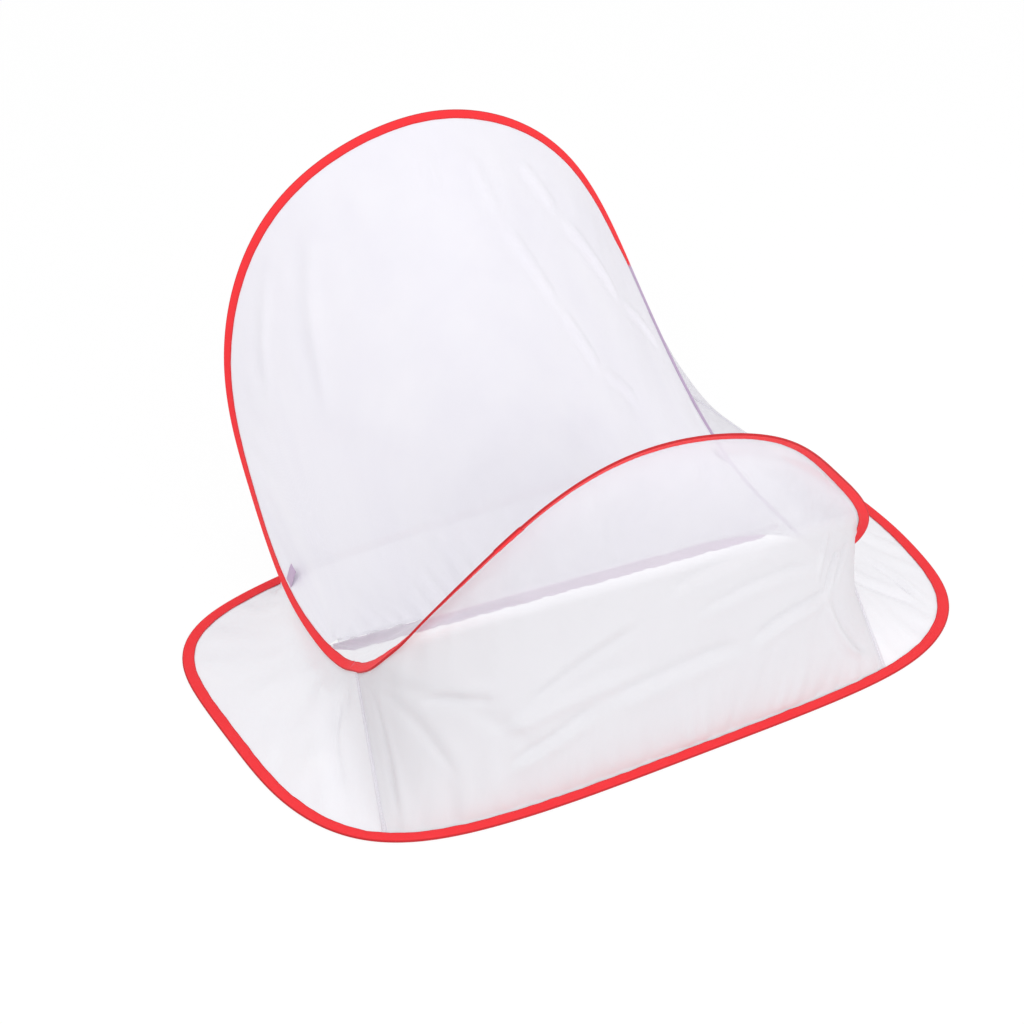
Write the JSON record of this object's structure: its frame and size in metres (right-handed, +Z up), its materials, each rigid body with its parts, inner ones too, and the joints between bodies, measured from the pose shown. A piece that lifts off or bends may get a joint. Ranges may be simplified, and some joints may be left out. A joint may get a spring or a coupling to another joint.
{
  "type": "mosquito net tent",
  "caption": "Pop-up mosquito net tent for the head: a flat base hoop, a sprung saddle-shaped upper hoop with two folding arches, a strap between them and net panels all round.",
  "frame": {"origin": "on the bed plane, under the middle of the whole outline", "axes": "+X along the long side of the base hoop towards the right end, +Y towards the tall back arch, +Z up"},
  "size_m": [1.118, 0.8971, 0.6054],
  "materials": {
    "red_binding": "woven tape, matt with a slight sheen",
    "white_net": "fine see-through polyester net",
    "lavender_tape": "thin matt tape",
    "seam_thread": "stitched seam",
    "spring_steel": "drawn wire"
  },
  "bodies": {
    "base": {"base_binding": "red_binding", "base_wire": "spring_steel", "base_wire_ferrule": "spring_steel", "left_rail_binding": "red_binding", "right_rail_binding": "red_binding", "left_rail_wire": "spring_steel", "right_rail_wire": "spring_steel", "rear_right_bend": "red_binding", "rear_left_bend": "red_binding", "front_left_bend": "red_binding", "front_right_bend": "red_binding", "canopy_back": "white_net", "canopy_front": "white_net", "rear_panel": "white_net", "left_end_panel": "white_net", "front_panel": "white_net", "right_end_panel": "white_net", "rear_right_seam": "seam_thread", "rear_left_seam": "seam_thread", "front_left_seam": "seam_thread", "front_right_seam": "seam_thread", "tie_strap": "lavender_tape", "right_tab": "lavender_tape", "left_tab": "lavender_tape"},
    "back_arch": {"back_arch_binding": "red_binding", "back_arch_wire": "spring_steel"},
    "front_arch": {"front_arch_binding": "red_binding", "front_arch_wire_left": "spring_steel", "front_arch_wire_right": "spring_steel", "hoop_wire_ferrule": "spring_steel", "hoop_binding_overlap": "red_binding"}
  },
  "joints": [
    {"name": "back_arch_fold", "type": "hinge", "parent": "base", "child": "back_arch", "pos_m": [0.0177, 0.232, 0.1438], "axis": [0.9962, -0.0872, 0], "range_deg": [-55, 40], "stiffness_Nm_per_rad": 10, "deforming": ["canopy_back", "rear_panel", "rear_right_bend", "rear_left_bend"]},
    {"name": "front_arch_fold", "type": "hinge", "parent": "base", "child": "front_arch", "pos_m": [-0.0221, -0.2233, 0.1023], "axis": [0.9962, -0.0872, 0], "range_deg": [-40, 50], "stiffness_Nm_per_rad": 10, "deforming": ["canopy_front", "front_panel", "front_left_bend", "front_right_bend"]}
  ]
}
